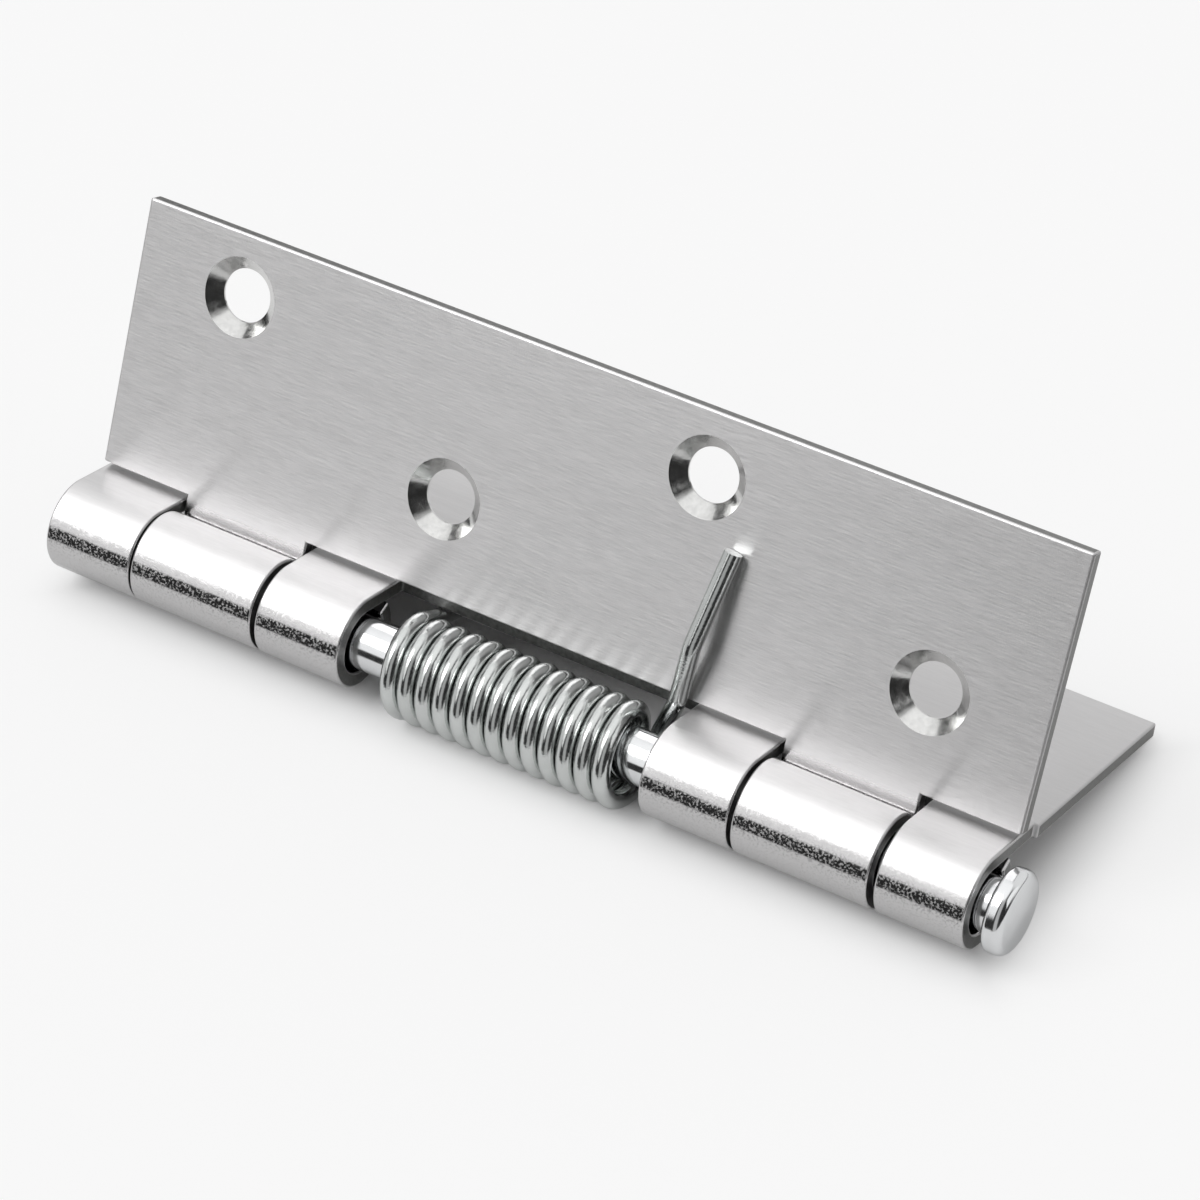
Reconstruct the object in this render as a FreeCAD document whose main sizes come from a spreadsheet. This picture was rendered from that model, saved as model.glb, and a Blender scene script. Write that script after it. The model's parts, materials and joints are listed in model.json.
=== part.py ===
import FreeCAD, Part
import math
import os

import Sketcher

# A spring loaded door hinge at rest on a table, in millimetres.
# The fixed leaf lies on its far edge and on the coil, back face up.
# The swing leaf stands up from it, held open against its stop by a torsion spring.
# Each leaf is one strip of sheet, rolled round the pin where its knuckles are.
# A leaf is drawn in its own frame: X runs along the pin, Y from the pin towards the
# outer edge, and Z from the pin towards the side of the pin that the sheet lies on.
# The countersunk front face is the sheet's face towards the pin.

SIZES = (
    ("leaf_length", 100.0, "length of both leaves along the pin"),
    ("leaf_width", 32.5, "pin axis to the outer edge of a leaf"),
    ("sheet_thickness", 1.5, "thickness of the sheet"),
    ("pin_radius", 2.6, "radius of the pin's shank"),
    ("pin_clearance", 0.5, "radial gap between the pin and the rolled knuckles"),
    ("curl_end_angle", 38.0, "where the rolled strip ends, from the leaf's direction"),
    ("notch_clearance", 1.1, "gap between a knuckle and the other leaf's notch"),
    ("seat_margin", 0.3, "bottom of the notches to the start of the flat seat"),
    ("edge_break", 0.15, "bevel on the edges of the sheet"),
    ("first_knuckle", 9.7, "length of the fixed leaf's first knuckle"),
    ("left_notch", 14.6, "fixed leaf's notch for the swing leaf's left knuckle"),
    ("third_knuckle", 9.4, "length of the knuckle left of the spring"),
    ("fourth_knuckle", 9.2, "length of the knuckle right of the spring"),
    ("last_knuckle", 9.32, "length of the fixed leaf's last knuckle, with its trimmed end"),
    ("gap_first_second", 0.2, "side gap between knuckles one and two"),
    ("gap_second_third", 0.5, "side gap between knuckles two and three"),
    ("gap_fourth_fifth", 0.4, "side gap between knuckles four and five"),
    ("gap_fifth_sixth", 0.7, "side gap between knuckles five and six"),
    ("end_trim", 0.45, "last knuckle's strip trimmed inside the leaf's end"),
    ("end_trim_reach", 2.0, "how far the trim runs past the depth of the notches"),
    ("stop_gap", 0.35, "gap from a notch edge to the other leaf's back at rest"),
    ("screw_hole", 5.2, "diameter of a screw hole"),
    ("countersink", 7.8, "diameter of its countersink at the front face"),
    ("hole_margin", 11.6, "first and last hole to the ends of the leaf"),
    ("inner_row", 15.0, "pin axis to the inner row of holes"),
    ("outer_row", 26.3, "pin axis to the outer row of holes"),
    ("head_radius", 4.05, "radius of the pin's head"),
    ("head_height", 2.3, "height of the head with its crown"),
    ("head_crown", 0.4, "rise of the head's front"),
    ("head_front_bevel", 0.5, "bevel on the head's front edge"),
    ("head_back_bevel", 0.2, "bevel on the head's back edge"),
    ("head_gap", 0.9, "neck showing between the leaf's end and the head"),
    ("peen_radius", 3.4, "radius of the pin's riveted end"),
    ("peen_height", 0.5, "height of the riveted end"),
    ("peen_bevel", 0.3, "bevel on the edge of the riveted end"),
    ("wire_diameter", 1.75, "diameter of the spring wire"),
    ("strand_gap", 0.17, "gap between neighbouring turns"),
    ("coil_turns", 12.75, "number of turns"),
    ("coil_play", 0.775, "radial play of the coil on the pin"),
    ("coil_drop", 0.39, "how far the coil hangs below the pin's axis"),
    ("room_left", 5.2, "third knuckle to the first turn"),
    ("room_right", 3.1, "last turn to the fourth knuckle"),
    ("leg_start", 0.9, "straight wire where a leg leaves the coil"),
    ("leg_pass_gap", 0.13, "leg to the front face where it passes the notch edge"),
    ("knee_reach", 11.5, "pin axis to a leg's knee, along the leaf"),
    ("knee_lift", 1.37, "how far the knee stands off the tip's line"),
    ("leg_reach", 20.9, "pin axis to a leg's tip, along the leaf"),
    ("tip_gap", 0.06, "leg's tip to the leaf that it presses on"),
    ("bend_radius", 3.0, "radius of the bends in the legs"),
    ("right_side_step", 2.0, "right leg's step along the pin by the notch edge"),
    ("right_knee_step", 2.76, "the same at its knee"),
    ("right_tip_step", 4.03, "the same at its tip"),
    ("left_side_step", 0.8, "left leg's step along the pin by the notch edge"),
    ("left_knee_step", 1.6, "the same at its knee"),
    ("left_tip_step", 2.9, "the same at its tip"),
)

BARREL = "(Sizes.pin_radius + Sizes.pin_clearance + Sizes.sheet_thickness)"
BORE = "(Sizes.pin_radius + Sizes.pin_clearance)"
NOTCH = "(" + BARREL + " + Sizes.notch_clearance)"
SEAT = "(" + NOTCH + " + Sizes.seat_margin)"
PITCH = "(Sizes.wire_diameter + Sizes.strand_gap)"
WINDOW = "(Sizes.room_left + Sizes.coil_turns * " + PITCH + " + Sizes.room_right)"

# Ends of the fixed leaf's knuckles along the pin, from its left end.
# Its right notch takes up what the other lengths leave of the leaf.
THIRD_START = "(Sizes.first_knuckle + Sizes.left_notch)"
WINDOW_START = "(" + THIRD_START + " + Sizes.third_knuckle)"
WINDOW_END = "(" + WINDOW_START + " + " + WINDOW + ")"
FOURTH_END = "(" + WINDOW_END + " + Sizes.fourth_knuckle)"
SIXTH_START = "(Sizes.leaf_length - Sizes.last_knuckle)"

# The swing leaf is turned over, so its own X runs from the other end of the pin.
FIFTH_START = "(Sizes.leaf_length - " + SIXTH_START + " + Sizes.gap_fifth_sixth)"
FIFTH_END = "(Sizes.leaf_length - " + FOURTH_END + " - Sizes.gap_fourth_fifth)"
SECOND_START = "(Sizes.leaf_length - " + THIRD_START + " + Sizes.gap_second_third)"
SECOND_END = "(Sizes.leaf_length - Sizes.first_knuckle - Sizes.gap_first_second)"

# How far a cutting profile runs past the metal that it removes.
PAST = "Sizes.sheet_thickness"

# The round wire is drawn with flat sides along short straight chords, to keep its faces few.
WIRE_SIDES = 8
CHORDS_PER_TURN = 15
CHORDS_PER_BEND = 3
RIGHT_CORNERS = 1

X_AXIS = FreeCAD.Vector(1, 0, 0)
Y_AXIS = FreeCAD.Vector(0, 1, 0)
Z_AXIS = FreeCAD.Vector(0, 0, 1)


def fill_sheet(doc):
    """Write the driving dimensions, one row each."""
    sheet = doc.addObject("Spreadsheet::Sheet", "Sizes")
    for row, (alias, value, meaning) in enumerate(SIZES, start=1):
        sheet.set("A%d" % row, alias)
        sheet.set("B%d" % row, str(value))
        sheet.set("C%d" % row, meaning)
        sheet.setAlias("B%d" % row, alias)
    doc.recompute()
    return sheet


def number(owner, expression):
    """The value of an expression, as a plain number."""
    value = owner.evalExpression(expression)
    return float(getattr(value, "Value", value))


def origin_part(body, role):
    """The plane or axis of a body's origin that has this role."""
    for part in body.Origin.OriginFeatures:
        if part.Role == role:
            return part
    raise ValueError("no origin feature " + role)


def sketch_on(body, name, role):
    """A sketch on one of the body's own origin planes."""
    sketch = body.newObject("Sketcher::SketchObject", name)
    sketch.AttachmentSupport = [(origin_part(body, role), "")]
    sketch.MapMode = "FlatFace"
    return sketch


def bind(sketch, name, index, expression):
    """Name a constraint and tie its value to the sheet."""
    sketch.renameConstraint(index, name)
    sketch.setExpression("Constraints." + name, expression)


def place_point(sketch, name, geometry, end, across, up):
    """Hold one end of a line at two expressions, measured from the sketch's origin."""
    here = (number(sketch, across), number(sketch, up))
    index = sketch.addConstraint(Sketcher.Constraint("DistanceX", -1, 1, geometry, end, here[0]))
    bind(sketch, name + "_across", index, across)
    index = sketch.addConstraint(Sketcher.Constraint("DistanceY", -1, 1, geometry, end, here[1]))
    bind(sketch, name + "_up", index, up)


def add_line(sketch, start, finish):
    """A line between two points that are given as pairs of expressions."""
    ends = [FreeCAD.Vector(number(sketch, a), number(sketch, b), 0) for a, b in (start, finish)]
    return sketch.addGeometry(Part.LineSegment(*ends), False)


def add_rectangle(sketch, name, left, right, low, high):
    """A rectangle whose four sides are expressions."""
    corners = ((left, low), (right, low), (right, high), (left, high))
    lines = [add_line(sketch, corners[i], corners[(i + 1) % 4]) for i in range(4)]
    for i in range(4):
        sketch.addConstraint(Sketcher.Constraint("Coincident", lines[i], 2, lines[(i + 1) % 4], 1))
    for i in range(4):
        kind = "Horizontal" if i % 2 == 0 else "Vertical"
        sketch.addConstraint(Sketcher.Constraint(kind, lines[i]))
    place_point(sketch, name + "_start", lines[0], 1, left, low)
    place_point(sketch, name + "_end", lines[2], 1, right, high)


def draw_leaf_section(sketch):
    """The rolled strip seen along the pin: flat sheet, then a curl that ends under it.

    The back is drawn in two stretches: the seat that lies on a door or a frame, and the
    root of the curl, which the other leaf overhangs.
    """
    bore = number(sketch, BORE)
    barrel = number(sketch, BARREL)
    curl = [math.radians(90.0), math.radians(360.0 + number(sketch, "Sizes.curl_end_angle"))]
    centre = FreeCAD.Vector(0, 0, 0)
    tip = (math.cos(curl[1]), math.sin(curl[1]))
    root = add_line(sketch, ("0", BARREL), (SEAT, BARREL))
    seat = add_line(sketch, (SEAT, BARREL), ("Sizes.leaf_width", BARREL))
    edge = add_line(sketch, ("Sizes.leaf_width", BARREL), ("Sizes.leaf_width", BORE))
    front = add_line(sketch, ("Sizes.leaf_width", BORE), ("0", BORE))
    inside = sketch.addGeometry(Part.ArcOfCircle(Part.Circle(centre, Z_AXIS, bore), *curl), False)
    ends = [FreeCAD.Vector(r * tip[0], r * tip[1], 0) for r in (bore, barrel)]
    strip_end = sketch.addGeometry(Part.LineSegment(*ends), False)
    outside = sketch.addGeometry(Part.ArcOfCircle(Part.Circle(centre, Z_AXIS, barrel), *curl), False)
    joined = (
        (root, 2, seat, 1),
        (seat, 2, edge, 1),
        (edge, 2, front, 1),
        (front, 2, inside, 1),
        (inside, 2, strip_end, 1),
        (strip_end, 2, outside, 2),
        (outside, 1, root, 1),
        (inside, 3, -1, 1),
        (outside, 3, -1, 1),
    )
    for pair in joined:
        sketch.addConstraint(Sketcher.Constraint("Coincident", *pair))
    sketch.addConstraint(Sketcher.Constraint("Horizontal", root))
    sketch.addConstraint(Sketcher.Constraint("Horizontal", seat))
    sketch.addConstraint(Sketcher.Constraint("Vertical", edge))
    sketch.addConstraint(Sketcher.Constraint("Horizontal", front))
    sketch.addConstraint(Sketcher.Constraint("PointOnObject", inside, 1, -2))
    sketch.addConstraint(Sketcher.Constraint("PointOnObject", outside, 1, -2))
    sketch.addConstraint(Sketcher.Constraint("PointOnObject", -1, 1, strip_end))
    bind(sketch, "bore", sketch.addConstraint(Sketcher.Constraint("Radius", inside, bore)), BORE)
    bind(sketch, "barrel", sketch.addConstraint(Sketcher.Constraint("Radius", outside, barrel)), BARREL)
    width = number(sketch, "Sizes.leaf_width")
    index = sketch.addConstraint(Sketcher.Constraint("DistanceX", -1, 1, edge, 1, width))
    bind(sketch, "width", index, "Sizes.leaf_width")
    index = sketch.addConstraint(Sketcher.Constraint("DistanceX", -1, 1, seat, 1, number(sketch, SEAT)))
    bind(sketch, "seat_start", index, SEAT)
    index = sketch.addConstraint(Sketcher.Constraint("Angle", -1, 1, strip_end, 1, curl[1] - 2 * math.pi))
    bind(sketch, "curl_end", index, "Sizes.curl_end_angle * 1 deg")


def draw_screw_holes(sketch):
    """Four staggered holes, evenly spaced between the two margins."""
    pitch = "(Sizes.leaf_length - 2 * Sizes.hole_margin) / 3"
    for place in range(4):
        along = "Sizes.hole_margin + %d * %s" % (place, pitch)
        row = "Sizes.outer_row" if place % 2 else "Sizes.inner_row"
        centre = FreeCAD.Vector(number(sketch, along), number(sketch, row), 0)
        radius = number(sketch, "Sizes.screw_hole / 2")
        hole = sketch.addGeometry(Part.Circle(centre, Z_AXIS, radius), False)
        place_point(sketch, "hole%d" % place, hole, 3, along, row)
        index = sketch.addConstraint(Sketcher.Constraint("Radius", hole, radius))
        bind(sketch, "hole%d_size" % place, index, "Sizes.screw_hole / 2")


def outer_edges(cut):
    """Names of the edges of the cut strip, apart from its joins and the edges of its bore."""
    bore = number(cut, BORE)
    joins = (0.0, number(cut, SEAT))
    found = []
    for index, edge in enumerate(cut.Shape.Edges, start=1):
        places = [vertex.Point for vertex in edge.Vertexes]
        runs_along = abs(places[0].x - places[-1].x) > 1e-6 and abs(places[0].y - places[-1].y) < 1e-6
        in_bore = all(abs(math.hypot(p.y, p.z) - bore) < 1e-4 for p in places)
        join = runs_along and places[0].z > 0 and any(abs(places[0].y - at) < 1e-6 for at in joins)
        if not in_bore and not join:
            found.append("Edge%d" % index)
    return found


def make_leaf(doc, name, notches):
    """One leaf: rolled section, notches between its knuckles, broken edges, screw holes."""
    body = doc.addObject("PartDesign::Body", name)
    body.Label = name
    section = sketch_on(body, name + "_section", "YZ_Plane")
    draw_leaf_section(section)
    strip = body.newObject("PartDesign::Pad", name + "_strip")
    strip.Profile = section
    strip.setExpression("Length", "Sizes.leaf_length")
    strip.Refine = False
    section.Visibility = False
    doc.recompute()

    outline = sketch_on(body, name + "_notch_outline", "XY_Plane")
    for place, (start, finish, depth) in enumerate(notches):
        add_rectangle(outline, "notch%d" % place, start, finish, "-(%s + %s)" % (BARREL, PAST), depth)
    cut = body.newObject("PartDesign::Pocket", name + "_notches")
    cut.Profile = outline
    cut.Type = "ThroughAll"
    cut.Midplane = True
    cut.Refine = False
    doc.recompute()

    broken = body.newObject("PartDesign::Chamfer", name + "_edges")
    broken.Base = (cut, outer_edges(cut))
    broken.setExpression("Size", "Sizes.edge_break")
    broken.Refine = False
    doc.recompute()

    centres = sketch_on(body, name + "_hole_centres", "XY_Plane")
    centres.setExpression(".AttachmentOffset.Base.z", BORE)
    draw_screw_holes(centres)
    doc.recompute()
    holes = body.newObject("PartDesign::Hole", name + "_screw_holes")
    holes.Profile = centres
    holes.Reversed = True
    holes.DepthType = "ThroughAll"
    holes.ThreadType = "None"
    holes.HoleCutType = "Countersink"
    holes.HoleCutCustomValues = True
    holes.HoleCutCountersinkAngle = 90
    holes.setExpression("Diameter", "Sizes.screw_hole")
    holes.setExpression("HoleCutDiameter", "Sizes.countersink")
    holes.Refine = False
    doc.recompute()
    return body


def circle_edges(shape, along, radius):
    """Names of the round edges about the pin's axis at one place and radius."""
    found = []
    for index, edge in enumerate(shape.Edges, start=1):
        if edge.Degenerated or not isinstance(edge.Curve, Part.Circle):
            continue
        if abs(edge.Curve.Radius - radius) < 1e-4 and abs(edge.Curve.Center.x - along) < 1e-4:
            found.append("Edge%d" % index)
    return found


def add_bevel(doc, body, base, name, along, radius, size):
    """Bevel the edge of a turned piece that lies at one place and radius."""
    bevel = body.newObject("PartDesign::Chamfer", name)
    edges = circle_edges(base.Shape, number(base, along), number(base, radius))
    bevel.Base = (base, edges)
    bevel.setExpression("Size", size)
    doc.recompute()
    return bevel


def make_pin(doc):
    """The pin: a turned button head, a plain shank, and an end riveted over."""
    body = doc.addObject("PartDesign::Body", "hinge_pin")
    body.Label = "hinge_pin"
    profile = sketch_on(body, "pin_profile", "XZ_Plane")
    head_back = "(Sizes.leaf_length + Sizes.head_gap)"
    head_side = "(" + head_back + " + Sizes.head_height - Sizes.head_crown)"
    head_front = "(" + head_back + " + Sizes.head_height)"
    corners = (
        ("-Sizes.peen_height", "0"),
        ("-Sizes.peen_height", "Sizes.peen_radius"),
        ("0", "Sizes.peen_radius"),
        ("0", "Sizes.pin_radius"),
        (head_back, "Sizes.pin_radius"),
        (head_back, "Sizes.head_radius"),
        (head_side, "Sizes.head_radius"),
    )
    lines = [add_line(profile, corners[i], corners[i + 1]) for i in range(len(corners) - 1)]
    rise = number(profile, "Sizes.head_crown")
    half = number(profile, "Sizes.head_radius")
    crown_radius = (half * half + rise * rise) / (2 * rise)
    front = number(profile, head_front)
    middle = FreeCAD.Vector(front - crown_radius, 0, 0)
    lift = math.asin(half / crown_radius)
    circle = Part.Circle(middle, Z_AXIS, crown_radius)
    crown = profile.addGeometry(Part.ArcOfCircle(circle, 0.0, lift), False)
    axis_line = add_line(profile, (head_front, "0"), corners[0])
    for i in range(len(lines) - 1):
        profile.addConstraint(Sketcher.Constraint("Coincident", lines[i], 2, lines[i + 1], 1))
    profile.addConstraint(Sketcher.Constraint("Coincident", lines[-1], 2, crown, 2))
    profile.addConstraint(Sketcher.Constraint("Coincident", crown, 1, axis_line, 1))
    profile.addConstraint(Sketcher.Constraint("Coincident", axis_line, 2, lines[0], 1))
    profile.addConstraint(Sketcher.Constraint("PointOnObject", crown, 3, -1))
    for i, (across, up) in enumerate(corners):
        if i < len(lines):
            place_point(profile, "corner%d" % i, lines[i], 1, across, up)
        else:
            place_point(profile, "corner%d" % i, lines[-1], 2, across, up)
    place_point(profile, "crown_top", crown, 1, head_front, "0")
    doc.recompute()

    turned = body.newObject("PartDesign::Revolution", "pin_turned")
    turned.Profile = profile
    turned.ReferenceAxis = (origin_part(body, "X_Axis"), [""])
    turned.Angle = 360
    doc.recompute()
    edges = (
        ("head_front_edge", head_side, "Sizes.head_radius", "Sizes.head_front_bevel"),
        ("head_back_edge", head_back, "Sizes.head_radius", "Sizes.head_back_bevel"),
        ("riveted_edge", "-Sizes.peen_height", "Sizes.peen_radius", "Sizes.peen_bevel"),
    )
    finished = turned
    for edge in edges:
        finished = add_bevel(doc, body, finished, *edge)
    return body


def rounded(points, radius):
    """The points of a bent wire: straight runs, and a few chords round each bend."""
    path = [points[0]]
    for before, corner, after in zip(points, points[1:], points[2:]):
        into = (corner - before).normalize()
        out = (after - corner).normalize()
        turn = into.getAngle(out)
        middle = corner + (out - into).normalize() * (radius / math.cos(turn / 2))
        start = corner - into * (radius * math.tan(turn / 2))
        axis = into.cross(out)
        for step in range(CHORDS_PER_BEND + 1):
            part_turn = FreeCAD.Rotation(axis, math.degrees(turn) * step / CHORDS_PER_BEND)
            path.append(middle + part_turn.multVec(start - middle))
    path.append(points[-1])
    return path


def coil_points(start, length, mean, drop, turns):
    """Points of the coil, which starts over the pin and winds towards its head."""
    path = []
    steps = round(turns * CHORDS_PER_TURN)
    for step in range(steps + 1):
        angle = math.radians(90.0 + 360.0 * turns * step / steps)
        along = start + length * step / steps
        path.append(FreeCAD.Vector(along, mean * math.cos(angle), mean * math.sin(angle) - drop))
    return path


def wire_section(centre, direction, radius):
    """The wire's section across its path, its corners on the wire's own circle."""
    across = direction.cross(X_AXIS).normalize() * radius
    corners = []
    for side in range(WIRE_SIDES):
        turn = FreeCAD.Rotation(direction, 360.0 * side / WIRE_SIDES)
        corners.append(centre + turn.multVec(across))
    return Part.makePolygon(corners + corners[:1])


def leg_points(size, leaf_direction, leaf_side, steps, coil_end, coil_tangent, sign):
    """Corners of one leg, from the coil to its tip, in the frame of the pin."""
    wire = size["wire_diameter"] / 2
    front_face = size["pin_radius"] + size["pin_clearance"]
    notch = front_face + size["sheet_thickness"] + size["notch_clearance"]
    tip_off = front_face - wire - size["tip_gap"]
    stations = (
        (notch, front_face - wire - size["leg_pass_gap"], steps[0]),
        (size["knee_reach"], tip_off - size["knee_lift"], steps[1]),
        (size["leg_reach"], tip_off, steps[2]),
    )
    points = [coil_end, coil_end + coil_tangent * size["leg_start"]]
    for along_leaf, off_pin, step in stations:
        place = leaf_direction * along_leaf + leaf_side * off_pin
        place.x = coil_end.x + sign * step
        points.append(place)
    return points


def make_spring(doc, size, rest_angle):
    """The torsion spring: a close coil round the pin and a bent leg on each leaf."""
    wire = size["wire_diameter"] / 2
    mean = size["pin_radius"] + size["coil_play"] + wire
    pitch = size["wire_diameter"] + size["strand_gap"]
    length = pitch * size["coil_turns"]
    start = size["first_knuckle"] + size["left_notch"] + size["third_knuckle"] + size["room_left"]

    coil = coil_points(start, length, mean, size["coil_drop"], size["coil_turns"])
    lead = pitch / (2 * math.pi * mean)
    last_turn = math.radians(90.0 + 360.0 * size["coil_turns"])
    first_tangent = FreeCAD.Vector(-lead, 1, 0).normalize()
    last_tangent = FreeCAD.Vector(lead, -math.sin(last_turn), math.cos(last_turn)).normalize()

    swing_direction = FreeCAD.Vector(0, math.cos(rest_angle), math.sin(rest_angle))
    swing_side = FreeCAD.Vector(0, math.sin(rest_angle), -math.cos(rest_angle))
    left_steps = (size["left_side_step"], size["left_knee_step"], size["left_tip_step"])
    right_steps = (size["right_side_step"], size["right_knee_step"], size["right_tip_step"])
    left = leg_points(size, Y_AXIS, Z_AXIS, left_steps, coil[0], first_tangent, -1)
    right = leg_points(size, swing_direction, swing_side, right_steps, coil[-1], last_tangent, 1)

    left_path = rounded(left[::-1], size["bend_radius"])
    right_path = rounded(right, size["bend_radius"])
    path = Part.makePolygon(left_path + coil[1:-1] + right_path)
    profile = wire_section(left_path[0], (left_path[1] - left_path[0]).normalize(), wire)
    spring = doc.addObject("Part::Feature", "torsion_spring")
    spring.Label = "torsion_spring"
    spring.Shape = path.makePipeShell([profile], True, False, RIGHT_CORNERS)
    return spring


def rest_angle_of(size):
    """Angle between the leaves where the swing leaf's notch edge meets the other's back."""
    barrel = size["pin_radius"] + size["pin_clearance"] + size["sheet_thickness"]
    notch = barrel + size["notch_clearance"]
    return math.atan2(barrel, notch) + math.asin((barrel + size["stop_gap"]) / math.hypot(notch, barrel))


def place_at_rest(size, rest_angle, fixed_side, swing_leaf):
    """Lay the hinge on its coil and its fixed leaf's outer edge, centred over the origin."""
    front_face = size["pin_radius"] + size["pin_clearance"]
    coil = size["pin_radius"] + size["coil_play"] + size["wire_diameter"]
    drop = size["coil_drop"]
    to_edge = math.hypot(size["leaf_width"], front_face + drop)
    tilt = math.asin(coil / to_edge) + math.atan2(front_face + drop, size["leaf_width"])
    lean = FreeCAD.Rotation(X_AXIS, -math.degrees(tilt))
    opened = FreeCAD.Rotation(X_AXIS, math.degrees(rest_angle - tilt))
    turned_over = FreeCAD.Placement(FreeCAD.Vector(size["leaf_length"], 0, 0), FreeCAD.Rotation(Y_AXIS, 180))

    back_edge = size["leaf_width"] * math.cos(tilt) + (front_face + size["sheet_thickness"]) * math.sin(tilt)
    coil_front = -coil - drop * math.sin(tilt)
    head_front = size["leaf_length"] + size["head_gap"] + size["head_height"]
    pin_axis = FreeCAD.Vector(
        -(head_front - size["peen_height"]) / 2,
        -(back_edge + coil_front) / 2,
        coil + drop * math.cos(tilt),
    )
    for piece in fixed_side:
        piece.Placement = FreeCAD.Placement(pin_axis, lean)
    swing_leaf.Placement = FreeCAD.Placement(pin_axis, opened).multiply(turned_over)


def check_document(doc, pieces):
    """Stop if a feature failed or a piece isn't one sound solid."""
    for item in doc.Objects:
        if "Invalid" in item.State or "Error" in item.State:
            raise RuntimeError(item.Name + " failed: " + ", ".join(item.State))
    for piece in pieces:
        shape = piece.Shape
        if shape.isNull() or not shape.isValid() or len(shape.Solids) != 1:
            raise RuntimeError(piece.Label + " isn't one valid solid")


def main():
    doc = FreeCAD.newDocument("spring_hinge")
    sheet = fill_sheet(doc)
    size = {alias: float(getattr(sheet, alias)) for alias, value, meaning in SIZES}
    rest_angle = rest_angle_of(size)
    before = "-" + PAST
    beyond = "(Sizes.leaf_length + " + PAST + ")"
    trim_start = "(Sizes.leaf_length - Sizes.end_trim)"
    fixed_notches = (
        ("Sizes.first_knuckle", THIRD_START, NOTCH),
        (WINDOW_START, WINDOW_END, NOTCH),
        (FOURTH_END, SIXTH_START, NOTCH),
        (trim_start, beyond, "(" + NOTCH + " + Sizes.end_trim_reach)"),
    )
    swing_notches = (
        (before, FIFTH_START, NOTCH),
        (FIFTH_END, SECOND_START, NOTCH),
        (SECOND_END, beyond, NOTCH),
    )
    fixed_leaf = make_leaf(doc, "fixed_leaf", fixed_notches)
    swing_leaf = make_leaf(doc, "swing_leaf", swing_notches)
    pin = make_pin(doc)
    spring = make_spring(doc, size, rest_angle)
    place_at_rest(size, rest_angle, (fixed_leaf, pin, spring), swing_leaf)
    doc.recompute()
    pieces = (fixed_leaf, swing_leaf, pin, spring)
    check_document(doc, pieces)
    os.makedirs("parts", exist_ok=True)
    for piece in pieces:
        piece.Shape.exportStep("parts/" + piece.Label + ".step")


main()
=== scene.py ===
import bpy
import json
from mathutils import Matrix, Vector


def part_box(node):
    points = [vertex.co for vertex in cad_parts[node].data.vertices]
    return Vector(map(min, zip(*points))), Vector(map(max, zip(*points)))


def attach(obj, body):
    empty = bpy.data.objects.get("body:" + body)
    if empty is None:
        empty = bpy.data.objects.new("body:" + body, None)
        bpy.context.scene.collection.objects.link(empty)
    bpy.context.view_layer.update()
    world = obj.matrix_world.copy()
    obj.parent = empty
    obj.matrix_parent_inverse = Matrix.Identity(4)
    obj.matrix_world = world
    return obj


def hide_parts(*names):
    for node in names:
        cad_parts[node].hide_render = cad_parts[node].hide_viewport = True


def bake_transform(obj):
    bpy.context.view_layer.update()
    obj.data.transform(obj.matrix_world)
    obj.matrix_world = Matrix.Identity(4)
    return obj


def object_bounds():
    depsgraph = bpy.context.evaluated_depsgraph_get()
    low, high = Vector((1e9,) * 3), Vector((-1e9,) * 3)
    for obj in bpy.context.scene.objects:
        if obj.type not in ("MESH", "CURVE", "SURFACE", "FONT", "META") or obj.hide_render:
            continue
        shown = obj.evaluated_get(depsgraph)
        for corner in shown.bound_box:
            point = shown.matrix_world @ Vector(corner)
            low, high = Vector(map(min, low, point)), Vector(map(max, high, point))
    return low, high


bl_info = {
    "name": "Spring Hinge",
    "version": (1, 0, 0),
    "blender": (4, 5, 0),
    "location": "View3D > Sidebar > Spring Hinge",
    "description": "Models the leaves, pin and torsion spring of a spring loaded door hinge",
    "category": "Add Mesh",
}

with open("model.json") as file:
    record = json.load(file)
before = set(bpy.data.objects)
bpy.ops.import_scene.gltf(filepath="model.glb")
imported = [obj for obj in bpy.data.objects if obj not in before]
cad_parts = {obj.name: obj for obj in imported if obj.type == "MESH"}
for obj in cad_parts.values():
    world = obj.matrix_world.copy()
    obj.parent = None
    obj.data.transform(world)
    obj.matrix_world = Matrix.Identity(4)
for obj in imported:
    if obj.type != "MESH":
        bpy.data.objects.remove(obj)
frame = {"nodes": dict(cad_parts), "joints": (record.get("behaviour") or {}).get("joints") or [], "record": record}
CAD_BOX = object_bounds()

import json
import math

import bmesh
import bpy
from mathutils import Matrix, Vector

# Pieces are modelled in millimetres, in a frame of their own on the pin, and then placed.
MILLIMETRE = 0.001
METRE = 1000.0

# Points closer than this, in millimetres, are the same point.
TOUCHING = 1e-4

# The smallest ring of a turned piece, in millimetres, which a flat face closes.
NEAR_AXIS = 0.02

# Chords round a turned piece, along a rolled strip, and round one turn of the coil.
TURNED_SIDES = 96
ROLLED_STEPS = 80
COIL_STEPS = 40

# How far each leg has run along the pin, in millimetres, at the notch, at its knee and at its tip.
LEFT_LEG_RUN = (0.8, 1.6, 2.9)
RIGHT_LEG_RUN = (2.0, 2.76, 4.03)

# Slots of the leaves' finishes.
FACE_SLOT, EDGE_SLOT, HOLE_SLOT = range(3)

# The dim room in front, from left to right: where it is seen, and how bright it is there.
ROOM = ((-0.97, 0.0), (-0.08, 0.0), (0.08, 0.9), (0.46, 0.9), (0.6, 0.0))

JOINT = frame["joints"][0]
MOUNTS = {mount["name"]: mount for mount in frame["record"]["mounts"]}
PIN_AXIS = Vector(JOINT["pos_m"])
REST_ANGLE = math.radians(360.0 - JOINT["range_deg"][1])


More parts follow.
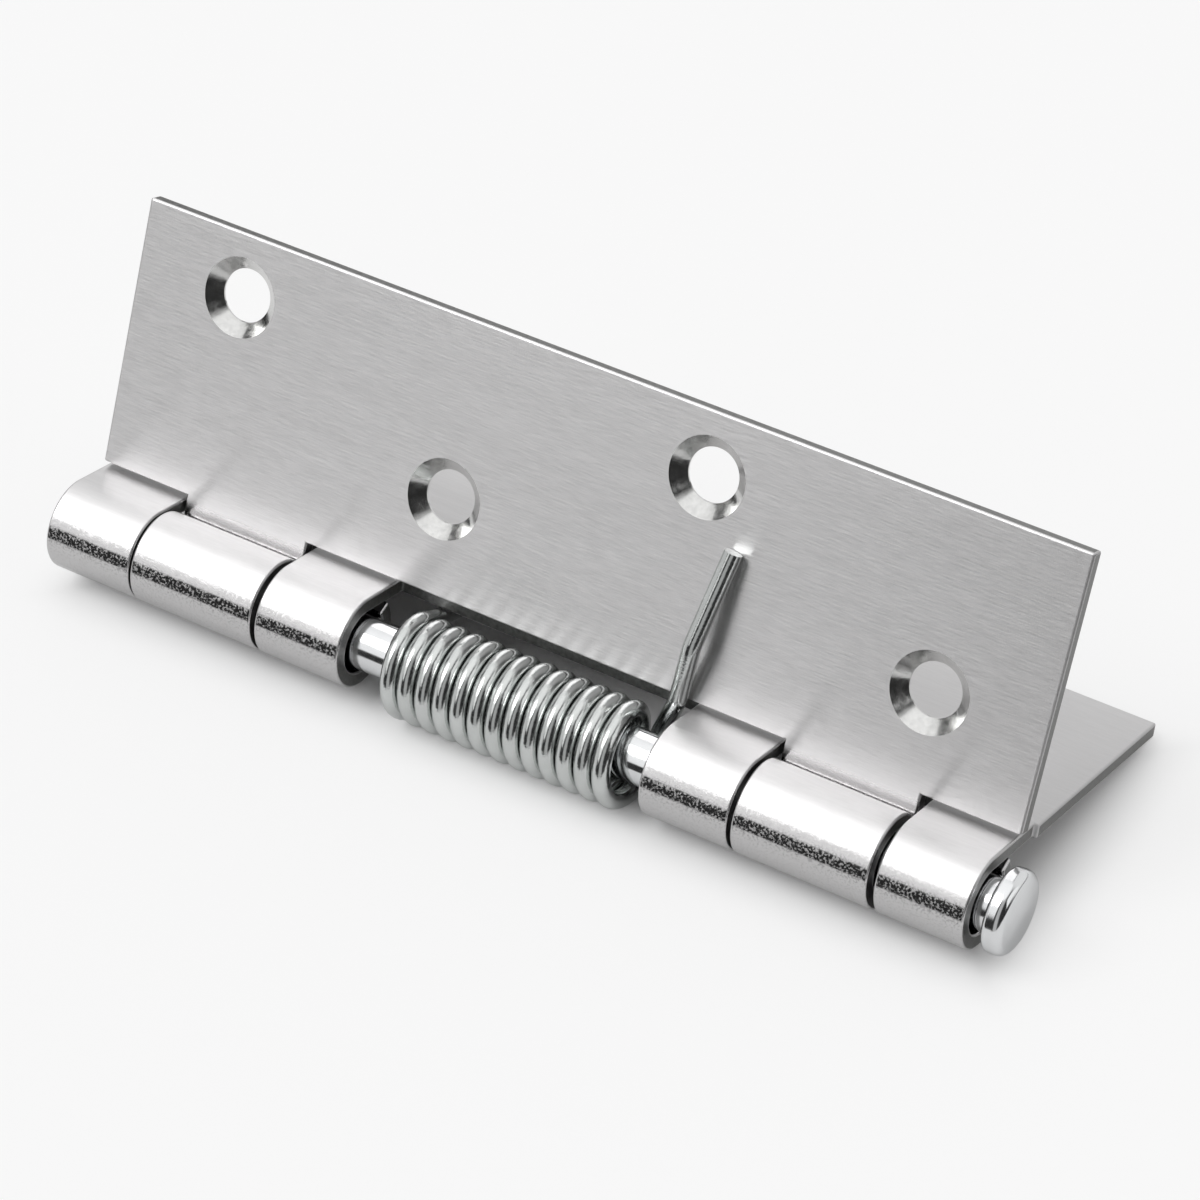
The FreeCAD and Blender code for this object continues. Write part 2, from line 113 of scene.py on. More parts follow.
def leaf_place(mount, origin, along):
    """Where a leaf's own frame lies: X along the pin, Z towards its back, Y to its outer edge."""
    back = Vector(MOUNTS[mount]["axis"])
    pin = Vector((along, 0.0, 0.0))
    turned = Matrix((pin, back.cross(pin), back)).transposed()
    return Matrix.Translation(origin) @ turned.to_4x4()


LEAF_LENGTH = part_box("swing_leaf")[1].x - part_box("swing_leaf")[0].x
FIXED_PLACE = leaf_place("fixed_leaf_back", PIN_AXIS, 1.0)
SWING_PLACE = leaf_place("swing_leaf_back", PIN_AXIS + Vector((LEAF_LENGTH, 0.0, 0.0)), -1.0)


def own_reach(node, place, axis):
    """How far a node reaches along one axis of its own frame, in metres."""
    back = place.inverted()
    return max((back @ vertex.co)[axis] for vertex in frame["nodes"][node].data.vertices)


def length(name, default, description):
    """A size in metres that a user may change."""
    return bpy.props.FloatProperty(
        name=name, description=description, default=default, min=0.0, precision=5, unit="LENGTH"
    )


def colour(name, default, description):
    """A linear colour that a user may change."""
    return bpy.props.FloatVectorProperty(
        name=name, description=description, default=default, size=3, min=0.0, max=1.0, subtype="COLOR"
    )


def amount(name, default, description):
    """A strength, share or other plain number that a user may change."""
    return bpy.props.FloatProperty(name=name, description=description, default=default, min=0.0)


class HingeSizes(bpy.types.PropertyGroup):
    """Sizes of the hinge's pieces."""

    leaf_length: length("Leaf length", LEAF_LENGTH, "Length of both leaves along the pin")
    leaf_width: length(
        "Leaf width", own_reach("fixed_leaf", FIXED_PLACE, 1), "Pin axis to a leaf's outer edge"
    )
    barrel: length(
        "Barrel radius", own_reach("fixed_leaf", FIXED_PLACE, 2), "Outer radius of the knuckles"
    )
    sheet: length("Sheet thickness", 0.0015, "Thickness of the leaves")
    notch_gap: length("Notch gap", 0.0011, "Knuckle to the bottom of the other leaf's notch")
    edge_round: length("Edge round", 0.0003, "Radius on the edges of the sheet")
    curl_end: bpy.props.FloatProperty(
        name="Curl end",
        description="Where the rolled strip ends, from the leaf's direction",
        default=math.radians(38.0),
        subtype="ANGLE",
    )
    first_knuckle: length("First knuckle", 0.0097, "Length of the fixed leaf's first knuckle")
    left_notch: length("Left notch", 0.0146, "Notch for the swing leaf's left knuckle")
    third_knuckle: length("Third knuckle", 0.0094, "Knuckle left of the spring")
    fourth_knuckle: length("Fourth knuckle", 0.0092, "Knuckle right of the spring")
    last_knuckle: length("Last knuckle", 0.00932, "Fixed leaf's last knuckle with its trimmed end")
    gap_first_second: length("First gap", 0.0002, "Between knuckles one and two")
    gap_second_third: length("Second gap", 0.0005, "Between knuckles two and three")
    gap_fourth_fifth: length("Third gap", 0.0004, "Between knuckles four and five")
    gap_fifth_sixth: length("Fourth gap", 0.0007, "Between knuckles five and six")
    end_trim: length("End trim", 0.00045, "Last knuckle's strip trimmed inside the leaf's end")
    end_trim_reach: length("End trim reach", 0.002, "How far the trim runs past the notches")
    hole: length("Screw hole", 0.0052, "Diameter of a screw hole")
    countersink: length("Countersink", 0.0078, "Diameter of its countersink")
    hole_margin: length("Hole margin", 0.0116, "First and last hole to the leaf's ends")
    inner_row: length("Inner row", 0.015, "Pin axis to the inner row of holes")
    outer_row: length("Outer row", 0.0263, "Pin axis to the outer row of holes")
    pin: length("Pin radius", 0.0026, "Radius of the pin's shank")
    head: length("Head radius", 0.00405, "Radius of the pin's head")
    head_height: length("Head height", 0.0023, "Height of the head with its crown")
    head_crown: length("Head crown", 0.0004, "Rise of the head's front")
    crown_foot: length("Crown foot", 0.00012, "Where the crown starts, past the head's side")
    head_round: length("Head round", 0.00095, "Radius on the head's front edge")
    head_back: length("Head back round", 0.0005, "Radius on the head's back edge")
    head_gap: length("Head gap", 0.0009, "Neck between the leaf's end and the head")
    peen: length("Riveted end", 0.0034, "Radius of the pin's riveted end")
    peen_height: length("Riveted height", 0.0005, "Height of the riveted end")
    peen_round: length("Riveted round", 0.0002, "Radius on the riveted end's edge")
    wire: length("Wire", 0.00175, "Diameter of the spring wire")
    strand_gap: length("Strand gap", 0.00017, "Gap between neighbouring turns")
    coil_turns: amount("Turns", 12.75, "Number of turns of the coil")
    coil_play: length("Coil play", 0.000775, "Radial play of the coil on the pin")
    coil_drop: length("Coil drop", 0.00039, "How far the coil hangs below the pin's axis")
    room_left: length("Left room", 0.0052, "Third knuckle to the first turn")
    room_right: length("Right room", 0.0031, "Last turn to the fourth knuckle")
    leg_start: length("Leg start", 0.0009, "Straight wire where a leg leaves the coil")
    leg_pass: length("Leg pass", 0.00013, "Leg to the leaf's face where it passes the notch")
    knee_reach: length("Knee reach", 0.0115, "Pin axis to a leg's knee, along the leaf")
    knee_lift: length("Knee lift", 0.00137, "How far the knee stands off the tip's line")
    leg_reach: length("Leg reach", 0.0209, "Pin axis to a leg's tip, along the leaf")
    tip_gap: length("Tip gap", 0.00006, "Leg's tip to the leaf that it presses on")
    bend: length("Bend radius", 0.003, "Radius of the bends in the legs")
    wire_round: length("Wire end round", 0.00012, "Bevel on the sheared ends of the wire")


class HingeFinish(bpy.types.PropertyGroup):
    """Colours of the metals and of the stage."""

    leaf_steel: colour("Leaf steel", (0.645, 0.638, 0.64), "Stainless sheet of the leaves")
    # Cut edges: darker than the faces, partly as a duller cut and partly as painted shade.
    sheared_dull_and_shade: colour("Sheared edge", (0.3, 0.3, 0.295), "Cut edges of the leaves")
    countersunk_steel: colour("Countersink", (0.74, 0.74, 0.73), "Cones and bores of the screw holes")
    pin_steel: colour("Pin steel", (0.86, 0.87, 0.88), "Bright steel of the pin")
    wire_steel: colour("Wire steel", (0.71, 0.73, 0.72), "Drawn wire of the spring")
    floor: colour("Floor", (0.952, 0.952, 0.952), "Pale floor that the hinge lies on")


class HingeStage(bpy.types.PropertyGroup):
    """The camera and the studio light."""

    camera_place: bpy.props.FloatVectorProperty(
        name="Camera place", description="Where the camera stands", size=3, precision=6,
        default=(0.170489, -0.267180, 0.283292), subtype="TRANSLATION",
    )
    camera_turn: bpy.props.FloatVectorProperty(
        name="Camera turn", description="How the camera is turned", size=3, subtype="EULER",
        default=[math.radians(angle) for angle in (49.0737, 0.5855, 32.0661)],
    )
    lens: amount("Lens", 135.0, "Focal length in millimetres")
    overhead: amount("Overhead", 1.05, "Light from straight above")
    slanting: amount("Slanting", 0.95, "Light from the slanting panel")
    horizon: amount("Horizon", 0.03, "The darkest part of the room in front")
    window: amount("Window", 0.5, "The lightest part of the room in front")
    left_side: amount("Left side", 0.6, "Dim light from the left")
    backdrop: amount("Backdrop", 0.78, "Pale backdrop behind the hinge")
    sun: amount("Sun", 0.88, "Strength of the broad key light")
    sun_from: bpy.props.FloatVectorProperty(
        name="Sun from", description="Where the broad key light comes from", size=3,
        default=(-0.45, -0.42, 0.785), subtype="DIRECTION",
    )
    sun_width: bpy.props.FloatProperty(
        name="Sun width", description="How wide the key light is", default=math.radians(32.0),
        subtype="ANGLE",
    )
    near_floor: bpy.props.FloatVectorProperty(
        name="Near floor", description="Half length and front reach of the floor that metal mirrors",
        size=2, default=(0.12, 0.040), unit="LENGTH",
    )
    mirrored_floor: amount("Mirrored floor", 0.82, "Share of the floor's colour that metal mirrors")
    glow: amount("Glow", 0.74, "Share of the floor that the camera sees without shadow")


def in_millimetres(group):
    """The sizes of a property group, lengths in millimetres."""
    values = {}
    for key, made in group.bl_rna.properties.items():
        if made.type == "FLOAT" and not made.is_array:
            values[key] = getattr(group, key) * (METRE if made.unit == "LENGTH" else 1.0)
    return values


def deselect():
    """Leave nothing selected."""
    if bpy.context.object and bpy.context.object.mode != "OBJECT":
        bpy.ops.object.mode_set(mode="OBJECT")
    bpy.ops.object.select_all(action="DESELECT")


def edit_all(piece):
    """Open a piece in edit mode with all of it selected."""
    bpy.context.view_layer.objects.active = piece
    bpy.ops.object.mode_set(mode="EDIT")
    bpy.ops.mesh.select_all(action="SELECT")


def select_where(piece, kind, test):
    """Select what passes a test of its middle, of the vertices, edges or faces in edit mode."""
    bpy.ops.mesh.select_mode(type={"verts": "VERT", "edges": "EDGE", "faces": "FACE"}[kind])
    bpy.ops.mesh.select_all(action="DESELECT")
    mesh = bmesh.from_edit_mesh(piece.data)
    for item in getattr(mesh, kind):
        if kind == "verts":
            middle = item.co
        else:
            middle = sum((vertex.co for vertex in item.verts), Vector()) / len(item.verts)
        item.select_set(test(middle, item))
    mesh.select_flush_mode()
    bmesh.update_edit_mesh(piece.data)


def apply_modifier(piece, kind, **settings):
    """Give a piece one modifier and apply it."""
    deselect()
    piece.select_set(True)
    bpy.context.view_layer.objects.active = piece
    modifier = piece.modifiers.new(kind.lower(), kind)
    for key, value in settings.items():
        setattr(modifier, key, value)
    bpy.ops.object.modifier_apply(modifier=modifier.name)


def smooth(piece, angle):
    """Shade a piece smooth, with edges sharper than an angle kept crisp and flats kept flat."""
    deselect()
    piece.select_set(True)
    bpy.context.view_layer.objects.active = piece
    bpy.ops.object.shade_smooth_by_angle(angle=math.radians(angle))
    apply_modifier(piece, "WEIGHTED_NORMAL", keep_sharp=True, weight=100)


def settle(piece, place, material=None):
    """Scale a piece to metres, put it in its place and give it its finish."""
    deselect()
    piece.select_set(True)
    bpy.context.view_layer.objects.active = piece
    piece.matrix_world = place @ Matrix.Scale(MILLIMETRE, 4)
    bpy.ops.object.transform_apply(location=True, rotation=True, scale=True)
    if material:
        piece.data.materials.append(material)


def node(tree, kind, inputs=(), **settings):
    """A shader node with its settings, and its inputs set or linked."""
    made = tree.nodes.new(kind)
    for key, value in settings.items():
        setattr(made, key, value)
    for key, value in dict(inputs).items():
        if isinstance(value, bpy.types.NodeSocket):
            tree.links.new(value, made.inputs[key])
        else:
            made.inputs[key].default_value = value
    return made


def maths(tree, operation, *values):
    """The result of a maths node."""
    made = tree.nodes.new("ShaderNodeMath")
    made.operation = operation
    for index, value in enumerate(values):
        if isinstance(value, bpy.types.NodeSocket):
            tree.links.new(value, made.inputs[index])
        else:
            made.inputs[index].default_value = value
    return made.outputs[0]


def spread(tree, value, low, high, to_low, to_high, smooth_step=False):
    """A value carried from one range to another."""
    made = node(
        tree, "ShaderNodeMapRange",
        {0: value, 1: low, 2: high, 3: to_low, 4: to_high},
        interpolation_type="SMOOTHSTEP" if smooth_step else "LINEAR",
    )
    return made.outputs[0]


def new_material(name):
    """A metal material, and its tree, its shader and its coordinates from the pin's axis."""
    material = bpy.data.materials.new(name)
    material.use_nodes = True
    tree = material.node_tree
    shader = tree.nodes["Principled BSDF"]
    shader.inputs["Metallic"].default_value = 1.0
    place = node(tree, "ShaderNodeTexCoord").outputs["Object"]
    offset = [-value for value in PIN_AXIS]
    moved = node(tree, "ShaderNodeMapping", {"Vector": place, "Location": offset}).outputs[0]
    return material, tree, shader, moved


def vary(tree, noise, to_low, to_high):
    """The middle range of a noise, carried to a range of values."""
    return spread(tree, noise, 0.3, 0.7, to_low, to_high)


def streaks(tree, place, along, across):
    """Fine streaks that run along the pin's direction, as lines per metre each way."""
    stretched = node(tree, "ShaderNodeMapping", {"Vector": place, "Scale": (along, across, across)})
    noise = node(
        tree, "ShaderNodeTexNoise",
        {"Vector": stretched.outputs[0], "Scale": 1.0, "Detail": 4.0, "Roughness": 0.6},
    )
    return noise.outputs["Fac"]


def grain(tree, place, scale, detail):
    """An even noise, as lines per metre."""
    noise = node(tree, "ShaderNodeTexNoise", {"Vector": place, "Scale": scale, "Detail": detail})
    return noise.outputs["Fac"]


def relief(tree, height, distance, strength, below=None):
    """A bumped normal, on top of another one where that is given."""
    inputs = {"Height": height, "Distance": distance, "Strength": strength}
    if below is not None:
        inputs["Normal"] = below
    return node(tree, "ShaderNodeBump", inputs).outputs[0]


def tint(tree, shader, base, shade):
    """Set the shader's colour to a base times a shade that varies round one."""
    mixed = node(
        tree, "ShaderNodeMix", {0: 1.0, 6: (*base, 1.0)}, data_type="RGBA", blend_type="MULTIPLY"
    )
    grey = node(tree, "ShaderNodeCombineColor", {0: shade, 1: shade, 2: shade})
    tree.links.new(grey.outputs[0], mixed.inputs[7])
    tree.links.new(mixed.outputs[2], shader.inputs["Base Color"])


def leaf_material(base):
    """Stainless sheet: brushed along its length, burnished bright where it was rolled."""
    material, tree, shader, place = new_material("brushed_leaf_steel")
    split = node(tree, "ShaderNodeSeparateXYZ", {0: place})
    reach = maths(tree, "SQRT", maths(
        tree, "ADD",
        maths(tree, "MULTIPLY", split.outputs[1], split.outputs[1]),
        maths(tree, "MULTIPLY", split.outputs[2], split.outputs[2]),
    ))
    flat = spread(tree, reach, 0.0048, 0.0070, 0.0, 1.0, smooth_step=True)
    fine = streaks(tree, place, 550.0, 4800.0)
    broad = streaks(tree, place, 30.0, 900.0)
    specks = grain(tree, place, 4600.0, 3.0)
    brushed = vary(tree, fine, 0.31, 0.35)

    # The knuckles are mirror bright low down and satin on top, with specks that are rougher.
    satin = spread(tree, split.outputs[2], 0.0026, 0.0038, 0.06, 0.30)
    pitted = spread(tree, reach, 0.0047, 0.0052, 0.26, 0.14)
    rolled = spread(tree, specks, 0.50, 0.58, satin, maths(tree, "MAXIMUM", satin, pitted))
    rough = node(tree, "ShaderNodeMix", {0: flat, 2: rolled, 3: brushed}, data_type="FLOAT")
    tree.links.new(rough.outputs[0], shader.inputs["Roughness"])
    shade = spread(tree, broad, 0.25, 0.75, 0.97, 1.03)
    scratch = vary(tree, fine, 0.97, 1.03)
    tint(tree, shader, base, maths(tree, "MULTIPLY", shade, scratch))

    # The brushing stands out on the flat, and the specks on the knuckles.
    brush = relief(tree, fine, 0.00005, spread(tree, flat, 0.0, 1.0, 0.04, 0.33))
    finish = relief(tree, specks, 0.00005, spread(tree, flat, 0.0, 1.0, 0.05, 0.0), brush)
    tree.links.new(finish, shader.inputs["Normal"])
    shader.inputs["Anisotropic"].default_value = 0.98
    shader.inputs["Anisotropic Rotation"].default_value = 0.25
    along = node(tree, "ShaderNodeCombineXYZ", {0: 1.0, 1: 0.0, 2: 0.0})
    tree.links.new(along.outputs[0], shader.inputs["Tangent"])
    return material


def sheared_and_shade_material(base):
    """The cut edges of the sheet: rougher than its faces, and darker, partly as a duller cut and partly as painted
    shade.
    """
    material, tree, shader, place = new_material("sheared_edge_steel")
    torn = grain(tree, place, 3200.0, 4.0)
    tree.links.new(vary(tree, torn, 0.32, 0.5), shader.inputs["Roughness"])
    tint(tree, shader, base, vary(tree, torn, 0.7, 1.1))
    tree.links.new(relief(tree, torn, 0.00004, 0.5), shader.inputs["Normal"])
    return material


def countersunk_material(base):
    """The cones and bores of the screw holes: bright from the cutter."""
    material, tree, shader, place = new_material("countersunk_steel")
    chatter = grain(tree, place, 1500.0, 3.0)
    tree.links.new(vary(tree, chatter, 0.12, 0.22), shader.inputs["Roughness"])
    tint(tree, shader, base, vary(tree, chatter, 0.9, 1.05))
    tree.links.new(relief(tree, chatter, 0.00003, 0.3), shader.inputs["Normal"])
    return material


def pin_material(base):
    """Bright turned steel with faint turning rings."""
    material, tree, shader, place = new_material("bright_pin_steel")
    rings = node(tree, "ShaderNodeMapping", {"Vector": place, "Scale": (9000.0, 200.0, 200.0)})
    turned = grain(tree, rings.outputs[0], 1.0, 2.0)
    mottle = grain(tree, place, 900.0, 3.0)
    tree.links.new(vary(tree, mottle, 0.1, 0.17), shader.inputs["Roughness"])
    tint(tree, shader, base, vary(tree, mottle, 0.96, 1.0))
    tree.links.new(relief(tree, turned, 0.00002, 0.05), shader.inputs["Normal"])
    return material


def wire_material(base):
    """Drawn spring wire: bright, with a slightly uneven skin."""
    material, tree, shader, place = new_material("drawn_wire_steel")
    skin = grain(tree, place, 4500.0, 2.0)
    soft = grain(tree, place, 500.0, 2.0)
    tree.links.new(vary(tree, skin, 0.12, 0.22), shader.inputs["Roughness"])
    tint(tree, shader, base, vary(tree, soft, 0.93, 1.02))
    tree.links.new(relief(tree, skin, 0.00003, 0.3), shader.inputs["Normal"])
    return material


def countersink_cutter(size, along, row):
    """A solid of the shape that the drill and countersink take out of a leaf."""
    front = size["barrel"] - size["sheet"]
    hole = size["hole"] / 2
    sink = size["countersink"] / 2
    past = size["sheet"]
    rings = (
        (front - past, sink),
        (front, sink),
        (front + sink - hole, hole),
        (size["barrel"] + past, hole),
    )
    cutter = turned_piece("countersink_cutter", rings)
    upright = Matrix.Rotation(-math.pi / 2, 4, "Y")
    cutter.matrix_world = Matrix.Translation((along, row, 0.0)) @ upright
    return cutter


def turned_piece(name, rings):
    """A turned solid about X: a disc that is extruded and scaled from ring to ring."""
    deselect()
    start, radius = rings[0]
    bpy.ops.mesh.primitive_circle_add(
        vertices=TURNED_SIDES, radius=radius, fill_type="NGON", location=(start, 0.0, 0.0),
        rotation=(0.0, math.pi / 2, 0.0),
    )
    piece = bpy.context.object
    piece.name = name
    bpy.ops.object.transform_apply(location=True, rotation=True, scale=True)
    edit_all(piece)
    for (before, old_radius), (after, new_radius) in zip(rings, rings[1:]):
        bpy.ops.mesh.extrude_region_move(TRANSFORM_OT_translate={"value": (after - before, 0.0, 0.0)})
        ratio = new_radius / old_radius
        bpy.ops.transform.resize(value=(1.0, ratio, ratio), center_override=(after, 0.0, 0.0))
    bpy.ops.mesh.select_all(action="SELECT")
    bpy.ops.mesh.normals_make_consistent(inside=False)
    bpy.ops.object.mode_set(mode="OBJECT")
    return piece


def cut_notches(leaf, size, notches):
    """Cut the sheet in edit mode along its notches, and take out what lies in them."""
    for start, finish, _ in notches:
        for along in (start, finish):
            if 0.0 < along < size["leaf_length"]:
                bpy.ops.mesh.select_all(action="SELECT")
                bpy.ops.mesh.bisect(plane_co=(along, 0.0, 0.0), plane_no=(1.0, 0.0, 0.0))
    for depth in sorted({notch[2] for notch in notches}):
        bpy.ops.mesh.select_all(action="SELECT")
        bpy.ops.mesh.bisect(plane_co=(0.0, depth, 0.0), plane_no=(0.0, 1.0, 0.0))

    def in_notch(place, face):
        return any(start < place.x < finish and place.y < depth for start, finish, depth in notches)

    select_where(leaf, "faces", in_notch)
    bpy.ops.mesh.delete(type="FACE")


def shear_notch_feet(leaf, size):
    """Give the upright walls at the foot of the notches the finish of a cut edge, whose darker colour is partly
    painted shade.
    """
    edit_all(leaf)
    past_foot = size["barrel"] + size["notch_gap"] + size["edge_round"]

    def is_wall(place, face):
        return size["barrel"] < place.y < past_foot and abs(face.normal.z) < 0.3

    select_where(leaf, "faces", is_wall)
    leaf.active_material_index = EDGE_SLOT
    bpy.ops.object.material_slot_assign()
    bpy.ops.object.mode_set(mode="OBJECT")


def drill(leaf, size):
    """Take the four countersunk screw holes out of a leaf, by turns in its two rows."""
    pitch = (size["leaf_length"] - 2 * size["hole_margin"]) / 3
    for index in range(4):
        row = size["outer_row"] if index % 2 else size["inner_row"]
        cutter = countersink_cutter(size, size["hole_margin"] + index * pitch, row)
        cutter.data.materials.append(leaf_finishes()[HOLE_SLOT])
        apply_modifier(
            leaf, "BOOLEAN", operation="DIFFERENCE", solver="EXACT", material_mode="TRANSFER",
            object=cutter,
        )
        bpy.data.objects.remove(cutter)


def model_leaf(name, size, notches):
    """One leaf: a notched sheet, its strips spun round the pin, thickened, rounded and drilled."""
    sheet = size["sheet"]
    middle = size["barrel"] - sheet / 2
    deselect()
    bpy.ops.mesh.primitive_plane_add(size=1.0, location=(0.0, 0.0, 0.0))
    leaf = bpy.context.object
    leaf.name = name
    for material in leaf_finishes():
        leaf.data.materials.append(material)
    leaf.location = (size["leaf_length"] / 2, size["leaf_width"] / 2, middle)
    leaf.scale = (size["leaf_length"], size["leaf_width"], 1.0)
    bpy.ops.object.transform_apply(location=True, rotation=True, scale=True)
    edit_all(leaf)
    cut_notches(leaf, size, notches)
    select_where(leaf, "edges", lambda place, edge: abs(place.y) < TOUCHING)
    curl = math.radians(270.0) + size["curl_end"]
    bpy.ops.mesh.spin(steps=ROLLED_STEPS, angle=-curl, center=(0.0, 0.0, 0.0), axis=(1.0, 0.0, 0.0))
    bpy.ops.mesh.select_all(action="SELECT")
    bpy.ops.mesh.remove_doubles(threshold=TOUCHING)
    bpy.ops.mesh.normals_make_consistent(inside=False)
    bpy.ops.object.mode_set(mode="OBJECT")
    # The thickened rims are the cut edges and take their finish, which is partly painted shade.
    apply_modifier(
        leaf, "SOLIDIFY", thickness=sheet, offset=0.0, use_even_offset=True,
        material_offset_rim=EDGE_SLOT,
    )
    apply_modifier(
        leaf, "BEVEL", width=size["edge_round"], segments=4, limit_method="ANGLE",
        angle_limit=math.radians(50.0), material=FACE_SLOT,
    )
    shear_notch_feet(leaf, size)
    drill(leaf, size)
    smooth(leaf, 35.0)
    return leaf


def knuckle_ends(size):
    """Places along the pin where the fixed leaf's knuckles and its window end."""
    ends = {"first": size["first_knuckle"]}
    ends["third"] = ends["first"] + size["left_notch"]
    ends["window"] = ends["third"] + size["third_knuckle"]
    ends["coil"] = ends["window"] + size["room_left"]
    pitch = size["wire"] + size["strand_gap"]
    ends["coil_end"] = ends["coil"] + size["coil_turns"] * pitch
    ends["fourth"] = ends["coil_end"] + size["room_right"]
    ends["right_notch"] = ends["fourth"] + size["fourth_knuckle"]
    ends["sixth"] = size["leaf_length"] - size["last_knuckle"]
    return ends


def arc(middle, radius, start, finish, steps=6):
    """Points of an arc in the outline of a turned piece, as pairs of place and radius."""
    points = []
    for step in range(steps + 1):
        angle = math.radians(start + (finish - start) * step / steps)
        points.append((middle[0] + radius * math.cos(angle), middle[1] + radius * math.sin(angle)))
    return points


def pin_outline(size):
    """The pin's outline from its riveted end to the crown of its head."""
    small = size["peen_round"]
    behind = size["head_back"]
    edge = size["head_round"]
    back = size["leaf_length"] + size["head_gap"]
    foot = back + size["head_height"] - size["head_crown"] + size["crown_foot"]
    rise = size["head_crown"] - size["crown_foot"]
    rings = [(-size["peen_height"], NEAR_AXIS)]
    rings += arc((small - size["peen_height"], size["peen"] - small), small, 180.0, 90.0)
    rings += [(-NEAR_AXIS, size["peen"]), (0.0, size["peen"] - NEAR_AXIS), (0.0, size["pin"])]
    rings += [(back, size["pin"])]
    rings += arc((back + behind, size["head"] - behind), behind, 180.0, 90.0)
    rings += arc((foot - edge, size["head"] - edge), edge, 90.0, 12.0, steps=10)
    for share in (0.85, 0.65, 0.45, 0.25, 0.1, 0.01):
        rings.append((foot + rise * (1.0 - share * share), (size["head"] - edge) * share))
    return rings


def rounded(points, radius, step_angle):
    """The points of a bent wire: straight runs, and short chords round each bend."""
    path = [points[0]]
    for before, corner, after in zip(points, points[1:], points[2:]):
        into = (corner - before).normalized()
        out = (after - corner).normalized()
        turn = into.angle(out)
        steps = max(2, math.ceil(turn / step_angle))
        middle = corner + (out - into).normalized() * (radius / math.cos(turn / 2))
        start = corner - into * (radius * math.tan(turn / 2))
        axis = into.cross(out)
        for step in range(steps + 1):
            path.append(middle + Matrix.Rotation(turn * step / steps, 3, axis) @ (start - middle))
    path.append(points[-1])
    return path


def leg_points(size, direction, side, runs, coil_end, tangent, sign):
    """Corners of one leg, from the coil to its tip, in the frame of the pin."""
    wire = size["wire"] / 2
    front = size["barrel"] - size["sheet"]
    tip_off = front - wire - size["tip_gap"]
    stations = (
        (size["barrel"] + size["notch_gap"], front - wire - size["leg_pass"], runs[0]),
        (size["knee_reach"], tip_off - size["knee_lift"], runs[1]),
        (size["leg_reach"], tip_off, runs[2]),
    )
    points = [coil_end, coil_end + tangent * size["leg_start"]]
    for reach, off, run in stations:
        place = direction * reach + side * off
        place.x = coil_end.x + sign * run
        points.append(place)
    return points


def spring_path(size):
    """The centreline of the wire: a leg, the close coil, and the other leg."""
    mean = size["pin"] + size["coil_play"] + size["wire"] / 2
    pitch = size["wire"] + size["strand_gap"]
    turns = size["coil_turns"]
    start = knuckle_ends(size)["coil"]
    steps = round(turns * COIL_STEPS)
    coil = []
    for step in range(steps + 1):
        angle = math.radians(90.0 + 360.0 * turns * step / steps)
        along = start + pitch * turns * step / steps
        height = mean * math.sin(angle) - size["coil_drop"]
        coil.append(Vector((along, mean * math.cos(angle), height)))
    lead = pitch / (2 * math.pi * mean)
    last = math.radians(90.0 + 360.0 * turns)
    first_tangent = Vector((-lead, 1.0, 0.0)).normalized()
    last_tangent = Vector((lead, -math.sin(last), math.cos(last))).normalized()
    across = Vector((0.0, 1.0, 0.0))
    up = Vector((0.0, 0.0, 1.0))
    open_direction = Vector((0.0, math.cos(REST_ANGLE), math.sin(REST_ANGLE)))
    open_side = Vector((0.0, math.sin(REST_ANGLE), -math.cos(REST_ANGLE)))
    left = leg_points(size, across, up, LEFT_LEG_RUN, coil[0], first_tangent, -1.0)
    right = leg_points(
        size, open_direction, open_side, RIGHT_LEG_RUN, coil[-1], last_tangent, 1.0
    )
    step_angle = math.radians(6.0)
    legs = [rounded(points, size["bend"], step_angle) for points in (left[::-1], right)]
    return legs[0] + coil[1:-1] + legs[1]


def model_spring(size):
    """The torsion spring: round wire swept along its path, with sheared ends."""
    deselect()
    path = spring_path(size)
    line = bpy.data.curves.new("spring_line", "CURVE")
    line.dimensions = "3D"
    spline = line.splines.new("POLY")
    spline.points.add(len(path) - 1)
    for point, place in zip(spline.points, path):
        point.co = (*place, 1.0)
    line.bevel_depth = size["wire"] / 2
    line.bevel_resolution = 10
    line.use_fill_caps = True
    spring = bpy.data.objects.new("spring_coil", line)
    bpy.context.scene.collection.objects.link(spring)
    spring.select_set(True)
    bpy.context.view_layer.objects.active = spring
    bpy.ops.object.convert(target="MESH")
    spring = bpy.context.object
    apply_modifier(
        spring, "BEVEL", width=size["wire_round"], segments=3, limit_method="ANGLE",
        angle_limit=math.radians(60.0),
    )
    smooth(spring, 40.0)
    return spring


def leaf_finishes():
    """The leaves' materials, made once: the faces, the cut edges with their partly painted shade, and the
    countersinks.
    """
    finish = bpy.context.scene.hinge_finish
    makers = {
        "brushed_leaf_steel": (leaf_material, finish.leaf_steel),
        "sheared_edge_steel": (sheared_and_shade_material, finish.sheared_dull_and_shade),
        "countersunk_steel": (countersunk_material, finish.countersunk_steel),
    }
    return [bpy.data.materials.get(name) or make(base) for name, (make, base) in makers.items()]


class HINGE_OT_fixed_leaf(bpy.types.Operator):
    """Model the leaf that lies down"""

    bl_idname = "hinge.fixed_leaf"
    bl_label = "Fixed Leaf"

    def execute(self, context):
        size = in_millimetres(context.scene.hinge_sizes)
        ends = knuckle_ends(size)
        depth = size["barrel"] + size["notch_gap"]
        trim = size["leaf_length"] - size["end_trim"]
        notches = (
            (ends["first"], ends["third"], depth),
            (ends["window"], ends["fourth"], depth),
            (ends["right_notch"], ends["sixth"], depth),
            (trim, size["leaf_length"] + 1.0, depth + size["end_trim_reach"]),
        )
        leaf = model_leaf("lying_leaf", size, notches)
        settle(leaf, FIXED_PLACE)
        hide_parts("fixed_leaf")
        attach(leaf, "fixed_side")
        return {"FINISHED"}


